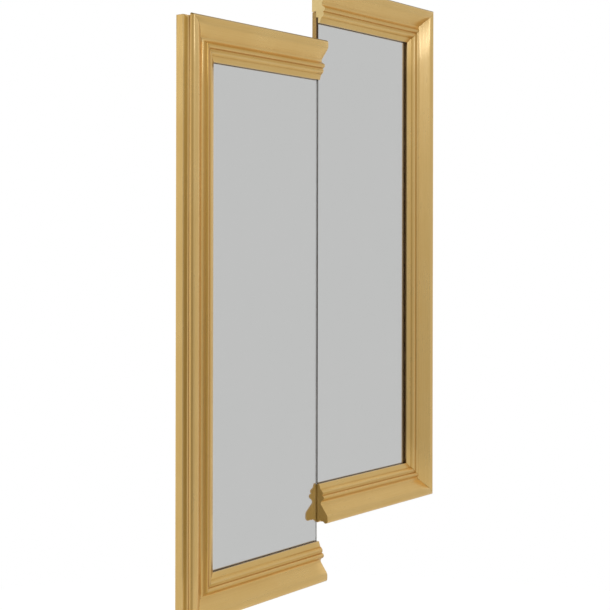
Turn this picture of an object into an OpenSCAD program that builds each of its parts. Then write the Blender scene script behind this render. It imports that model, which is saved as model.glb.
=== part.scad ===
// Wall mirror made as two framed halves, cut on one vertical line and set one step apart.
// Origin: centre of the joining batten's back face, on the wall. +Z is up, the front looks to -Y.
// A moulding section is drawn as x = distance in from the outer edge, y = distance off its back.

/* [Halves] */
// Width of one half, from the cut to its outer edge
half_width = 400; // [300:5:600]
// Height of one half
half_height = 1085; // [800:5:1500]
// How far the right half stands above the left half
step_up = 115; // [60:5:180]

/* [Moulding front] */
// Depth of the moulding from its back to its front
moulding_depth = 42; // [40:0.5:50]
// Radius of the rounded outer edge
lobe_r = 5.5; // [4.5:0.1:6.5]
// Width of the flat along the front
front_flat = 6; // [4:0.5:14]
// Radius of the shoulder that rolls in from the front flat
shoulder_r = 12; // [9:0.5:18]
// Fall of the long slope behind the shoulder
slope_deg = 37; // [33:1:50]
// Radius of the scoop at the foot of the slope
scoop_r = 5.5; // [3:0.1:6.5]
// Height of the scoop's floor off the moulding's back
scoop_floor = 25.3; // [23.5:0.1:27]
// Radius of the inner bead
bead_r = 5.2; // [4:0.1:6.5]
// Height of the inner bead's top off the moulding's back
bead_top = 33.2; // [32:0.1:34.5]
// Rise of the short slope from the scoop to the bead
riser_deg = 60; // [52:1:66]
// Width of the sunk line behind the bead
quirk_w = 1.8; // [0.8:0.1:2.5]
// Depth of the sunk line behind the bead
quirk_depth = 1.3; // [0.6:0.1:2]
// Width of the flat fillet inside the bead
fillet_w = 5.4; // [2.5:0.1:7]
// Height of the flat fillet off the moulding's back
fillet_top = 29.8; // [28:0.1:31]
// Run of the bevel from the fillet down to the lip
bevel_run = 4.7; // [3:0.1:7]
// Small step between the bevel and the lip
lip_step = 1.1; // [0.4:0.1:1.8]
// Width of the sloping lip that holds the glass
lip_w = 10.6; // [9:0.1:14]
// Thickness of the lip at the sight edge
lip_t = 5; // [3.5:0.1:5.8]
// Rise of the lip away from the sight edge
lip_rise = 3.7; // [2:0.1:4.4]

/* [Moulding side] */
// How far the back band is set in from the outer edge
band_inset = 0.3; // [0.1:0.1:2]
// Height of the flat back band
band_h = 17.3; // [9:0.1:18.5]
// Depth of the hollow above the back band
cove_depth = 4.7; // [3:0.1:5.5]
// Radius of the small side bead
side_bead_r = 1.5; // [1:0.1:2]
// Width of the sunk line between the side bead and the side fillet
side_quirk_w = 1.2; // [0.6:0.1:1.6]
// Width of the flat side fillet under the rounded edge
side_fillet_w = 1.4; // [1:0.1:2.4]
// How far the side bead and side fillet stand out of the hollow
side_relief = 2; // [1.2:0.1:2.8]

/* [Rebates] */
// Width of the rebate that takes the glass
glass_rebate_w = 12; // [9:0.5:14]
// Width of the further rebate that takes the backing board
board_ledge_w = 12; // [9:0.5:14]
// How far the backing board lies below the moulding's back
board_recess = 0.8; // [0.4:0.1:1.5]
// Clearance from the rebate's wall to the backing board
board_gap = 1; // [0.5:0.1:2]
// Clearance from the rebate's wall to the glass
glass_gap = 1; // [0.5:0.1:2]

/* [Panes and boards] */
// Thickness of the mirror glass
glass_t = 4; // [3:0.5:5]
// Thickness of a backing board
board_t = 10; // [8:0.5:11]
// How far the left pane stops short of the cut
left_pane_inset = 0.6; // [0.2:0.1:3]
// How far the right pane stops short of the cut
right_pane_inset = 1.2; // [0.2:0.1:3]
// How far each backing board stops short of the cut
board_inset = 0.2; // [0.1:0.1:1]
// Thickness of the foam tape between glass and board
tape_t = 0.8; // [0.5:0.1:1.5]
// Width of a strip of foam tape
tape_w = 25; // [12:1:40]
// Number of tape strips behind one pane
tape_count = 3; // [2:1:4]
// Distance from the pane's edge to the tape
tape_margin = 45; // [20:5:80]

/* [Joining batten] */
// Width of the batten over the cut
batten_w = 120; // [80:5:180]
// Height of the batten
batten_h = 800; // [500:10:830]
// Thickness of the batten, which stands the mirror off the wall
batten_t = 12; // [10:0.5:16]
// Rows of screws in the batten
batten_rows = 6; // [4:1:8]
// Distance from the cut to a column of batten screws
batten_screw_x = 35; // [20:1:50]
// Distance from the batten's ends to its first and last screws
batten_screw_end = 40; // [20:1:80]

/* [Wood screws] */
// Diameter of a screw's shank
screw_d = 3.5; // [3:0.1:4]
// Diameter of a countersunk head
screw_head_d = 7; // [6:0.1:8]
// Length of a backing board screw
board_screw_len = 20; // [16:1:24]
// Length of a batten screw
batten_screw_len = 20; // [18:1:21]
// Length of the short screws in hanger plates and bumpers
short_screw_len = 16; // [12:1:20]
// Radial clearance of a screw in its hole
screw_gap = 0.05; // [0.02:0.01:0.15]
// Length of the tapered point
screw_tip = 4; // [2:0.5:6]
// Width of the cross in a screw's head
cross_w = 0.9; // [0.6:0.1:1.2]
// Length of the cross in a screw's head
cross_l = 3.6; // [2.5:0.1:4.5]
// Depth of the cross in a screw's head
cross_depth = 1; // [0.5:0.1:1.2]
// Screws down the side of a backing board
side_screws = 5; // [3:1:8]
// Screws along the top or bottom of a backing board
end_screws = 2; // [2:1:4]
// Distance from the board's corners to its first screws
board_screw_end = 60; // [40:5:100]

/* [Corner nails] */
// Thickness of a corner nail
nail_t = 0.8; // [0.5:0.1:1.2]
// Length of each leg of a corner nail
nail_leg = 8; // [5:0.5:10]
// Depth that a corner nail goes into the moulding
nail_depth = 10; // [6:1:14]
// Clearance around a corner nail
nail_gap = 0.05; // [0.02:0.01:0.1]
// Distance from the outer edge to the first corner nail
nail_first = 14; // [10:1:18]
// Distance from one corner nail to the next
nail_pitch = 22; // [14:1:24]
// Corner nails in one mitre
nail_count = 2; // [1:1:2]

/* [Hanger plates] */
// Width of a keyhole hanger plate
hanger_w = 60; // [50:1:80]
// Height of a keyhole hanger plate
hanger_h = 28; // [26:1:34]
// Thickness of a keyhole hanger plate
hanger_t = 2; // [1.5:0.1:3]
// Rounding of the plate's corners
hanger_corner_r = 4; // [2:0.5:8]
// Diameter of the keyhole's entry
keyhole_d = 10; // [9:0.1:11]
// Width of the keyhole's slot
keyhole_slot_w = 5; // [4:0.1:5.5]
// Distance from the entry's centre to the end of the slot
keyhole_slot_l = 10; // [8:0.5:12]
// Distance between a plate's two screws
hanger_screw_pitch = 44; // [36:1:60]
// Distance from the cut to the middle of a hanger plate
hanger_x = 200; // [120:5:260]
// Distance from the moulding's outer edge to the middle of a hanger plate
hanger_drop = 28; // [24:1:30]
// Depth of the pocket behind a keyhole
pocket_depth = 8; // [5:0.5:12]
// Room around the keyhole inside the pocket
pocket_room = 2; // [1:0.5:3]

/* [Wall bumpers] */
// Diameter of a rubber bumper
bumper_d = 18; // [14:0.5:24]
// Depth of the bumper's seat in the moulding
bumper_seat = 0.8; // [0.4:0.1:2]
// Radial clearance of a bumper in its seat
bumper_gap = 0.2; // [0.1:0.1:0.5]
// Height of the bumper's floor under its screw
bumper_floor = 3; // [2:0.5:5]
// Distance from the moulding's outer edge to a bumper
bumper_in = 28; // [20:1:36]
// Distance from a half's top or bottom edge to a bumper
bumper_end = 110; // [90:5:200]
// Height of a round screw head
round_head_h = 2.2; // [1.6:0.1:3]

/* [Hidden] */
$fn = 96;
over = 1;

overall_h = half_height + step_up;
left_z = -overall_h / 2;
right_z = left_z + step_up;

shoulder_w = lobe_r + front_flat;
slope_top = [shoulder_w + shoulder_r * sin(slope_deg),
             moulding_depth - shoulder_r + shoulder_r * cos(slope_deg)];
scoop_d = scoop_floor + scoop_r;
scoop_c = [slope_top[0] + (scoop_r + (slope_top[1] - scoop_d) * cos(slope_deg)) / sin(slope_deg),
           scoop_d];
slope_foot = scoop_c - scoop_r * [sin(slope_deg), cos(slope_deg)];
riser_foot = scoop_c + scoop_r * [sin(riser_deg), -cos(riser_deg)];
bead_d = bead_top - bead_r;
bead_c = [riser_foot[0] + (bead_r + (bead_d - riser_foot[1]) * cos(riser_deg)) / sin(riser_deg),
          bead_d];
riser_top = bead_c + bead_r * [-sin(riser_deg), cos(riser_deg)];
fillet_in = bead_c[0] + bead_r + quirk_w;
fillet_out = fillet_in + fillet_w;
lip_in = fillet_out + bevel_run;
sight_w = lip_in + lip_w;

board_bed = board_recess + board_t;
glass_bed = board_bed + tape_t + glass_t;
lip_low = glass_bed + lip_t;
lip_high = lip_low + lip_rise;
glass_rebate = sight_w - glass_rebate_w;
board_rebate = glass_rebate - board_ledge_w;
glass_edge = glass_rebate + glass_gap;
board_edge = board_rebate + board_gap;
board_screw_w = (board_edge + glass_rebate) / 2;

lobe_foot = moulding_depth - 2 * lobe_r;
side_fillet_foot = lobe_foot - side_fillet_w;
side_bead_top = side_fillet_foot - side_quirk_w;
cove_top = side_bead_top - 2 * side_bead_r;
hollow_w = band_inset + cove_depth;
cove_rise = cove_top - band_h;
cove_r = (cove_rise * cove_rise + cove_depth * cove_depth) / (2 * cove_depth);

board_back = batten_t;
frame_back = batten_t - board_recess;
bumper_h = frame_back + bumper_seat;
screw_head_h = (screw_head_d - screw_d) / 2;

// Bottom edge of a half: side is -1 for the left half and 1 for the right half
function foot_z(side) = side < 0 ? left_z : right_z;

// Evenly spaced places from first to last
function spread(first, last, count) =
    [for (i = [0:count - 1]) first + (last - first) * i / (count - 1)];

// Middle of a hanger plate on the back of a top rail
function hanger_z(side) = foot_z(side) + half_height - hanger_drop;

// Middles of the bumpers on the back of one stile
function bumper_places(side) =
    [for (z = [foot_z(side) + bumper_end, foot_z(side) + half_height - bumper_end])
        [side * (half_width - bumper_in), z]];

// Middles of the screws that hold one backing board in its rebate
function board_screw_places(side) =
    let (low = foot_z(side) + board_screw_w,
         high = foot_z(side) + half_height - board_screw_w,
         outer = half_width - board_screw_w)
    concat(
        [for (z = spread(low + board_screw_end, high - board_screw_end, side_screws))
            [side * outer, z]],
        [for (x = spread(board_screw_end, outer - board_screw_end, end_screws), z = [low, high])
            [side * x, z]]
    );

// Middles of the screws that hold the batten to both boards
function batten_screw_places() =
    [for (z = spread(batten_screw_end - batten_h / 2, batten_h / 2 - batten_screw_end, batten_rows),
          side = [-1, 1])
        [side * batten_screw_x, z]];

// Middles of the screws in one hanger plate
function hanger_screw_places(side) =
    [for (x = [-1, 1]) [side * hanger_x + x * hanger_screw_pitch / 2, hanger_z(side)]];

// Turns a shape drawn upwards from z = 0 so that it goes from the wall side into the mirror
module into_mirror(place, from_wall) {
    translate([place[0], -from_wall, place[1]])
        rotate([90, 0, 0])
            children();
}

// Straight part of the moulding's section, which the round members stand on
module moulding_core() {
    polygon([
        [hollow_w, 0],
        [hollow_w, moulding_depth - lobe_r],
        [lobe_r, moulding_depth],
        [shoulder_w, moulding_depth],
        slope_top,
        slope_foot,
        riser_foot,
        riser_top,
        [bead_c[0], fillet_top - quirk_depth],
        [fillet_in, fillet_top - quirk_depth],
        [fillet_in, fillet_top],
        [fillet_out, fillet_top],
        [lip_in, lip_high + lip_step],
        [lip_in, lip_high],
        [sight_w, lip_low],
        [sight_w, glass_bed],
        [glass_rebate, glass_bed],
        [glass_rebate, board_bed],
        [board_rebate, board_bed],
        [board_rebate, 0]
    ]);
}

// Round member that runs the length of the moulding
module round_member(centre, r, length) {
    translate([centre[0], centre[1], 0])
        cylinder(r = r, h = length);
}

// Flat member that runs the length of the moulding
module flat_member(corner, width, height, length) {
    translate([corner[0], corner[1], 0])
        cube([width, height, length]);
}

// Back band, hollow, side bead and side fillet along the moulding's outer side
module side_members(length) {
    relief_w = hollow_w - side_relief;
    difference() {
        flat_member([band_inset, 0], cove_depth + over, cove_top, length);
        translate([0, 0, -over])
            round_member([hollow_w - cove_r, cove_top], cove_r, length + 2 * over);
    }
    round_member([relief_w + side_bead_r, cove_top + side_bead_r], side_bead_r, length);
    flat_member([relief_w + side_bead_r, cove_top], side_relief - side_bead_r + over,
                2 * side_bead_r, length);
    flat_member([relief_w, side_fillet_foot], side_relief + over, side_fillet_w + lobe_r / 4, length);
}

// Length of moulding as it comes from the mill, drawn upwards from z = 0
module moulding_bar(length) {
    difference() {
        union() {
            linear_extrude(height = length)
                moulding_core();
            round_member([lobe_r, moulding_depth - lobe_r], lobe_r, length);
            round_member([shoulder_w, moulding_depth - shoulder_r], shoulder_r, length);
            round_member(bead_c, bead_r, length);
            side_members(length);
        }
        translate([0, 0, -over])
            round_member(scoop_c, scoop_r, length + 2 * over);
    }
}

// Length of moulding along +X, its outer edge at z = 0 and its back at y = 0.
// Its far end is mitred, and its near end too if mitre_both is true.
module moulding_length(length, mitre_both) {
    near = mitre_both ? sight_w : 0;
    intersection() {
        rotate(a = 180, v = [1, 0, 1])
            moulding_bar(length);
        rotate([90, 0, 0])
            linear_extrude(height = moulding_depth + over)
                polygon([[0, 0], [length, 0], [length - sight_w, sight_w], [near, sight_w]]);
    }
}

// Puts a piece drawn for the right half on either half
module on_half(side) {
    if (side > 0)
        children();
    else
        mirror([1, 0, 0])
            children();
}

// Screw shank with a tapered point, drawn upwards from z = 0
module screw_shank(len, gap) {
    cylinder(d = screw_d + 2 * gap, h = len - screw_tip);
    translate([0, 0, len - screw_tip])
        cylinder(d1 = screw_d + 2 * gap, d2 = screw_d / 3 + 2 * gap, h = screw_tip + gap);
}

// Cross sunk into a screw's head from z = 0
module screw_cross() {
    for (turn = [0, 90])
        rotate([0, 0, turn])
            translate([-cross_l / 2, -cross_w / 2, -over])
                cube([cross_l, cross_w, cross_depth + over]);
}

// Countersunk wood screw, its head flush at z = 0
module flat_screw(len) {
    difference() {
        union() {
            cylinder(d1 = screw_head_d, d2 = screw_d, h = screw_head_h);
            screw_shank(len, 0);
        }
        screw_cross();
    }
}

// Hole with a countersink for a flat screw
module flat_screw_hole(len) {
    translate([0, 0, -over])
        cylinder(d = screw_head_d + 2 * screw_gap, h = over);
    cylinder(d1 = screw_head_d + 2 * screw_gap, d2 = screw_d + 2 * screw_gap, h = screw_head_h);
    screw_shank(len, screw_gap);
}

// Round-headed wood screw, the underside of its head at z = 0
module round_screw(len) {
    difference() {
        union() {
            translate([0, 0, -round_head_h])
                cylinder(d = screw_head_d, h = round_head_h);
            screw_shank(len, 0);
        }
        translate([0, 0, -round_head_h])
            screw_cross();
    }
}

// Bent corner nail seen from the back: one leg lies in each of the two mitred pieces
module corner_nail(gap) {
    for (leg = [[nail_leg, nail_t], [nail_t, nail_leg]])
        translate([-gap, 0, -gap])
            cube([leg[0] + 2 * gap, nail_depth + gap, leg[1] + 2 * gap]);
}

// Corner nails of one half, at its top and bottom mitres
module corner_nails(side, gap) {
    on_half(side)
        for (i = [0:nail_count - 1]) {
            in = nail_first + i * nail_pitch;
            translate([half_width - in, -frame_back, foot_z(side) + in])
                mirror([1, 0, 0])
                    mirror([0, 1, 0])
                        corner_nail(gap);
            translate([half_width - in, -frame_back, foot_z(side) + half_height - in])
                mirror([0, 0, 1])
                    mirror([1, 0, 0])
                        mirror([0, 1, 0])
                            corner_nail(gap);
        }
}

// Holes that the screws of one half make in its moulding
module moulding_holes(side) {
    for (place = board_screw_places(side))
        into_mirror(place, board_back)
            screw_shank(board_screw_len, screw_gap);
    for (place = hanger_screw_places(side))
        into_mirror(place, frame_back - hanger_t)
            screw_shank(short_screw_len, screw_gap);
    for (place = bumper_places(side)) {
        into_mirror(place, frame_back - over)
            cylinder(d = bumper_d + 2 * bumper_gap, h = bumper_seat + over);
        into_mirror(place, frame_back + bumper_seat - bumper_floor)
            screw_shank(short_screw_len, screw_gap);
    }
}

// Upright length of moulding at the outer side of a half
module stile(side) {
    color("#C4A368")
        difference() {
            on_half(side)
                translate([half_width, -frame_back, foot_z(side)])
                    rotate([0, -90, 0])
                        moulding_length(half_height, true);
            corner_nails(side, nail_gap);
            moulding_holes(side);
        }
}

// Level length of moulding at the top or the bottom of a half
module rail(side, top) {
    color("#C4A368")
        difference() {
            on_half(side)
                translate([0, -frame_back, foot_z(side) + (top ? half_height : 0)])
                    mirror([0, 0, top ? 1 : 0])
                        moulding_length(half_width, false);
            corner_nails(side, nail_gap);
            moulding_holes(side);
            if (top)
                into_mirror([side * hanger_x, hanger_z(side)], frame_back - over)
                    linear_extrude(height = pocket_depth + over)
                        keyhole(pocket_room);
        }
}

// Keyhole outline: a round entry with a slot above it, grown by room
module keyhole(room) {
    translate([0, -keyhole_slot_l / 2])
        circle(d = keyhole_d + 2 * room);
    translate([-keyhole_slot_w / 2 - room, -keyhole_slot_l / 2])
        square([keyhole_slot_w + 2 * room, keyhole_slot_l]);
    translate([0, keyhole_slot_l / 2])
        circle(d = keyhole_slot_w + 2 * room);
}

// Flat rectangle of one half, from the cut to the moulding
module half_sheet(side, inset, edge, from_wall, thickness) {
    on_half(side)
        translate([inset, -from_wall - thickness, foot_z(side) + edge])
            cube([half_width - edge - inset, thickness, half_height - 2 * edge]);
}

module mirror_pane(side, inset) {
    color("#BFC0BE")
        half_sheet(side, inset, glass_edge, board_back + board_t + tape_t, glass_t);
}

// Upright strips of foam tape that hold the pane to the board
module mounting_tape(side) {
    first = tape_margin;
    last = half_width - glass_edge - tape_margin - tape_w;
    color("white")
        for (x = spread(first, last, tape_count))
            on_half(side)
                translate([x, -board_back - board_t - tape_t, foot_z(side) + glass_edge + tape_margin])
                    cube([tape_w, tape_t, half_height - 2 * (glass_edge + tape_margin)]);
}

module backing_board(side) {
    color("#9B7B45")
        difference() {
            half_sheet(side, board_inset, board_edge, board_back, board_t);
            for (place = board_screw_places(side))
                into_mirror(place, board_back)
                    flat_screw_hole(board_screw_len);
            for (place = batten_screw_places())
                into_mirror(place, 0)
                    screw_shank(batten_screw_len, screw_gap);
        }
}

module board_screws(side) {
    color("#B8B4A6")
        for (place = board_screw_places(side))
            into_mirror(place, board_back)
                flat_screw(board_screw_len);
}

module half_corner_nails(side) {
    color("#8F9296")
        corner_nails(side, 0);
}

// Flat board screwed over the cut: it joins the halves and rests on the wall
module joining_batten() {
    color("#C9AC7C")
        difference() {
            translate([-batten_w / 2, -batten_t, -batten_h / 2])
                cube([batten_w, batten_t, batten_h]);
            for (place = batten_screw_places())
                into_mirror(place, 0)
                    flat_screw_hole(batten_screw_len);
        }
}

module batten_screws() {
    color("#B8B4A6")
        for (place = batten_screw_places())
            into_mirror(place, 0)
                flat_screw(batten_screw_len);
}

// Steel plate with a keyhole, on the back of a top rail
module hanger_plate(side) {
    color("#A9ACAF")
        difference() {
            into_mirror([side * hanger_x, hanger_z(side)], frame_back - hanger_t)
                linear_extrude(height = hanger_t)
                    difference() {
                        plate_outline(hanger_w, hanger_h, hanger_corner_r);
                        keyhole(0);
                    }
            for (place = hanger_screw_places(side))
                into_mirror(place, frame_back - hanger_t - over)
                    cylinder(d = screw_d + 4 * screw_gap, h = hanger_t + 2 * over);
        }
}

// Rectangle with rounded corners
module plate_outline(width, height, corner_r) {
    square([width - 2 * corner_r, height], center = true);
    square([width, height - 2 * corner_r], center = true);
    for (x = [-1, 1], y = [-1, 1])
        translate([x * (width / 2 - corner_r), y * (height / 2 - corner_r)])
            circle(r = corner_r);
}

module hanger_screws() {
    color("#B8B4A6")
        for (side = [-1, 1])
            for (place = hanger_screw_places(side))
                into_mirror(place, frame_back - hanger_t)
                    round_screw(short_screw_len);
}

// Rubber feet between the stiles and the wall
module wall_bumpers() {
    color("#2A2A2C")
        for (side = [-1, 1])
            for (place = bumper_places(side))
                difference() {
                    into_mirror(place, 0)
                        cylinder(d = bumper_d, h = bumper_h);
                    into_mirror(place, -over)
                        cylinder(d = screw_head_d + 1, h = bumper_h - bumper_floor + over);
                    into_mirror(place, 0)
                        cylinder(d = screw_d + 2 * screw_gap, h = bumper_h + over);
                }
}

module bumper_screws() {
    color("#B8B4A6")
        for (side = [-1, 1])
            for (place = bumper_places(side))
                into_mirror(place, bumper_h - bumper_floor)
                    round_screw(short_screw_len);
}

stile(-1);  // left_stile
rail(-1, true);  // left_top_rail
rail(-1, false);  // left_bottom_rail
stile(1);  // right_stile
rail(1, true);  // right_top_rail
rail(1, false);  // right_bottom_rail
mirror_pane(-1, left_pane_inset);  // left_mirror_pane
mirror_pane(1, right_pane_inset);  // right_mirror_pane
mounting_tape(-1);  // left_mounting_tape
mounting_tape(1);  // right_mounting_tape
backing_board(-1);  // left_backing_board
backing_board(1);  // right_backing_board
board_screws(-1);  // left_board_screws
board_screws(1);  // right_board_screws
half_corner_nails(-1);  // left_corner_nails
half_corner_nails(1);  // right_corner_nails
joining_batten();
batten_screws();
hanger_plate(-1);  // left_hanger_plate
hanger_plate(1);  // right_hanger_plate
hanger_screws();
wall_bumpers();
bumper_screws();
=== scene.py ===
# Wall mirror cut into two stepped halves, in a gilt moulding. All sizes in metres.
from math import radians, sin, cos, asin, atan2, degrees, pi, sqrt

import bpy
import bmesh
import numpy as np
from mathutils import Matrix, Vector


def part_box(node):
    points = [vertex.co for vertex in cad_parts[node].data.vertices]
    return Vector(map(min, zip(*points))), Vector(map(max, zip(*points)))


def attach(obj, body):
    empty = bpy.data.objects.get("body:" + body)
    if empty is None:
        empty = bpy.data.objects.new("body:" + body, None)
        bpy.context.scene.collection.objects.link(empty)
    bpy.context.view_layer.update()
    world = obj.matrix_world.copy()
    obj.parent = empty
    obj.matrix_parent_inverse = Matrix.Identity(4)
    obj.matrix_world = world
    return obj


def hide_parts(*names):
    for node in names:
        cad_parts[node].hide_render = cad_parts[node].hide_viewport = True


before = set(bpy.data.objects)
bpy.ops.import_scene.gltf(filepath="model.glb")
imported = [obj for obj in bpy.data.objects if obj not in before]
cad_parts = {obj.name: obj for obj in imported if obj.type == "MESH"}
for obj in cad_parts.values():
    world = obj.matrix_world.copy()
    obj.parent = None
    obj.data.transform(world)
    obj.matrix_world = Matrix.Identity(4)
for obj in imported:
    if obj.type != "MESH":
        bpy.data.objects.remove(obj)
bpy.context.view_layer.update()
scene = bpy.context.scene
print("packed model loaded,", len(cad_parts), "nodes")


def linkObject(name, data):
    made = bpy.data.objects.new(name, data)
    scene.collection.objects.link(made)
    return made


def aimed(place, ahead):
    # The matrix of a camera or lamp that looks ahead from place
    return Matrix.Translation(place) @ ahead.to_track_quat("-Z", "Y").to_matrix().to_4x4()


# Camera: level, to the left of the mirror, framed with a small shift

cameraView = {
    "place": (-2.1113, -1.6149, 0.0771),
    "azimuth": -52.5,
    "roll": 0.109,
    "lens": 77.29,
    "sensor": 36.0,
    "shiftY": -0.1005,
    "clip": (0.05, 100),
}


def addCamera():
    data = bpy.data.cameras.new("photoCamera")
    data.sensor_width = cameraView["sensor"]
    data.lens = cameraView["lens"]
    data.shift_y = cameraView["shiftY"]
    data.clip_start, data.clip_end = cameraView["clip"]
    turn = radians(cameraView["azimuth"])
    scene.camera = linkObject("photoCamera", data)
    scene.camera.matrix_world = (aimed(cameraView["place"], Vector((-sin(turn), cos(turn), 0)))
                                 @ Matrix.Rotation(radians(cameraView["roll"]), 4, "Z"))


addCamera()
scene.view_settings.view_transform = "Standard"
print("camera placed")


# Node trees, for finishes and for shapes

def mathNode(operation, swapped=False):
    # A method of Wire that adds one Math node
    def method(self, *others):
        values = (*others, self) if swapped else (self, *others)
        return self.book.node("ShaderNodeMath", {"operation": operation}, dict(enumerate(values)))
    return method


class Wire:
    # One output socket of a node. Arithmetic on it adds Math nodes.
    def __init__(self, book, node, socket):
        self.book, self.node, self.socket = book, node, socket

    __add__, __radd__ = mathNode("ADD"), mathNode("ADD", True)
    __sub__, __rsub__ = mathNode("SUBTRACT"), mathNode("SUBTRACT", True)
    __mul__, __rmul__ = mathNode("MULTIPLY"), mathNode("MULTIPLY", True)
    __truediv__, __pow__ = mathNode("DIVIDE"), mathNode("POWER")
    __lt__, __gt__ = mathNode("LESS_THAN"), mathNode("GREATER_THAN")
    least, most, size = mathNode("MINIMUM"), mathNode("MAXIMUM"), mathNode("ABSOLUTE")
    floor, fract, modulo = mathNode("FLOOR"), mathNode("FRACT"), mathNode("MODULO")
    sine, cosine, arctan2 = mathNode("SINE"), mathNode("COSINE"), mathNode("ARCTAN2")

    def also(self, name):
        return Wire(self.book, self.node, self.node.outputs[name])

    def between(self, low, high):
        # Goes from 0 at low to 1 at high, whichever is larger, and stays there
        return self.book.node("ShaderNodeMapRange", {"clamp": True},
                              {"Value": self, "From Min": low, "From Max": high})


class NodeBook:
    # Builds one node tree, shader or geometry
    def __init__(self, tree):
        self.tree = tree

    def node(self, kind, settings=None, values=None, out=0):
        made = self.tree.nodes.new(kind)
        for key, value in (settings or {}).items():
            if key == "stops":
                ramp = made.color_ramp.elements
                while len(ramp) < len(value):
                    ramp.new(0.5)
                for stop, (place, colour) in zip(ramp, value):
                    stop.position, stop.color = place, colour
            else:
                setattr(made, key, value)
        for key, value in (values or {}).items():
            if isinstance(value, Wire):
                self.tree.links.new(value.socket, made.inputs[key])
            else:
                made.inputs[key].default_value = value
        return Wire(self, made, made.outputs[out]) if len(made.outputs) else made

    def geo(self, kind, values=None, settings=None, out=0):
        return self.node("GeometryNode" + kind, settings, values, out)

    def moved(self, spot, direction, distance):
        step = self.node("ShaderNodeVectorMath", {"operation": "SCALE"},
                         {0: direction, "Scale": distance})
        return self.node("ShaderNodeVectorMath", {"operation": "ADD"}, {0: spot, 1: step})

    def join(self, x, y, z):
        return self.node("ShaderNodeCombineXYZ", None, {0: x, 1: y, 2: z})

    def split(self, vector):
        parts = self.node("ShaderNodeSeparateXYZ", None, {0: vector})
        return parts, parts.also("Y"), parts.also("Z")


def shade(red, green, blue):
    # A colour written as it looks on screen, 0 to 255
    def linear(c):
        c = c / 255
        return c / 12.92 if c <= 0.04045 else ((c + 0.055) / 1.055) ** 2.4
    return (linear(red), linear(green), linear(blue), 1.0)


class Finish(NodeBook):
    # One material, patterned by the piece's own place unless another vector is given
    def __init__(self, name):
        self.material = bpy.data.materials.new(name)
        self.material.use_nodes = True
        super().__init__(self.material.node_tree)
        self.tree.nodes.clear()
        self.place = self.node("ShaderNodeTexCoord", out="Object")

    def attribute(self, name, out="Fac"):
        return self.node("ShaderNodeAttribute", {"attribute_name": name}, out=out)

    def stretched(self, scale, vector=None):
        return self.node("ShaderNodeMapping", None,
                         {"Vector": vector or self.place, "Scale": scale})

    def noise(self, scale, detail=2.0, rough=0.5, distort=0.0, vector=None):
        # One number is the scale, three stretch the pattern along each axis
        if isinstance(scale, tuple):
            vector, scale = self.stretched(scale, vector), 1.0
        return self.node("ShaderNodeTexNoise", None, {
            "Vector": vector or self.place, "Scale": scale, "Detail": detail,
            "Roughness": rough, "Distortion": distort})

    def cells(self, scale, vector=None):
        return self.node("ShaderNodeTexVoronoi", None,
                         {"Vector": vector or self.place, "Scale": scale}, out="Distance")

    def layers(self, colour, *over):
        # Each further layer is a share and the colour that it lays over the last
        for share, upper in over:
            colour = self.node("ShaderNodeMix", {"data_type": "RGBA"},
                               {0: share, 6: colour, 7: upper}, out=2)
        return colour

    def done(self, colour, rough, relief=None, **others):
        # relief: height, strength and distance of the bump
        values = {"Base Color": colour, "Roughness": rough}
        values.update({name.replace("_", " "): value for name, value in others.items()})
        if relief:
            values["Normal"] = self.node("ShaderNodeBump", None, dict(
                zip(("Height", "Strength", "Distance"), relief)))
        shader = self.node("ShaderNodeBsdfPrincipled", None, values)
        self.node("ShaderNodeOutputMaterial", None, {"Surface": shader})
        return self.material


# Studio: pale floor, white behind the mirror, grey on the side that the glass looks at

studio = {
    # light level by bearing: 0 is straight behind the mirror, 90 to its right, -90 to its left
    "around": ((-180, 0.34), (-163, 0.36), (-150, 0.27), (-138, 0.17), (-120, 0.13), (-98, 0.13),
               (-80, 0.17), (-66, 0.31), (-54, 0.56), (-40, 0.72), (-22, 0.88), (45, 0.92),
               (70, 0.82), (92, 0.66), (104, 0.60), (112, 0.555), (143, 0.555), (154, 0.33),
               (168, 0.28), (180, 0.34)),
    # how much lighter it gets away from the horizon, by the same bearing
    "lift": ((-180, 0.42), (-163, 0.38), (-150, 0.36), (-130, 0.52), (-98, 0.50), (-66, 0.28),
             (-44, 0.12), (-25, 0.0), (50, 0.0), (75, 0.22), (98, 0.28), (111, 0.0), (143, 0.0),
             (154, 0.36), (168, 0.42), (180, 0.42)),
    # the heights over which the lift sets in above and below, and its share below
    "liftAbove": (-0.08, 0.17), "liftBelow": (-0.08, -0.38), "liftShareBelow": 0.5,
    "overhead": 0.60, "overheadFrom": (0.75, 0.98),
    # the darker part above the backdrop
    "behindShade": 0.62, "behindAlong": (-0.1, 0.25), "behindUp": (0.2, 0.45),
    # where metal and glass see the white backdrop, by bearing
    "backdrop": ((-32, 0.0), (-14, 1.0), (80, 1.0), (96, 0.0)),
    "floorDrop": 1.45, "floorReach": 3.4,
    "floorColour": shade(236, 235, 233), "floorGrain": shade(228, 227, 226),
    "floorGlow": 0.53, "floorGlowMirrored": 0.16,
    # place, size, power and tint
    "lamps": {
        "keyLamp": ((-0.09, -1.65, 1.12), 0.58, 1.8, (0.84, 1.0, 1.7)),
        "sideLamp": ((-2.2, 1.3, 1.6), 1.6, 2.2, (1, 1, 1)),
        "rimLamp": ((1.6, 1.3, 2.3), 1.4, 5, (1, 1, 1)),
        "backLamp": ((0.2, 2.4, 1.9), 1.2, 20, (1, 1, 1)),
    },
}


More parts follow.
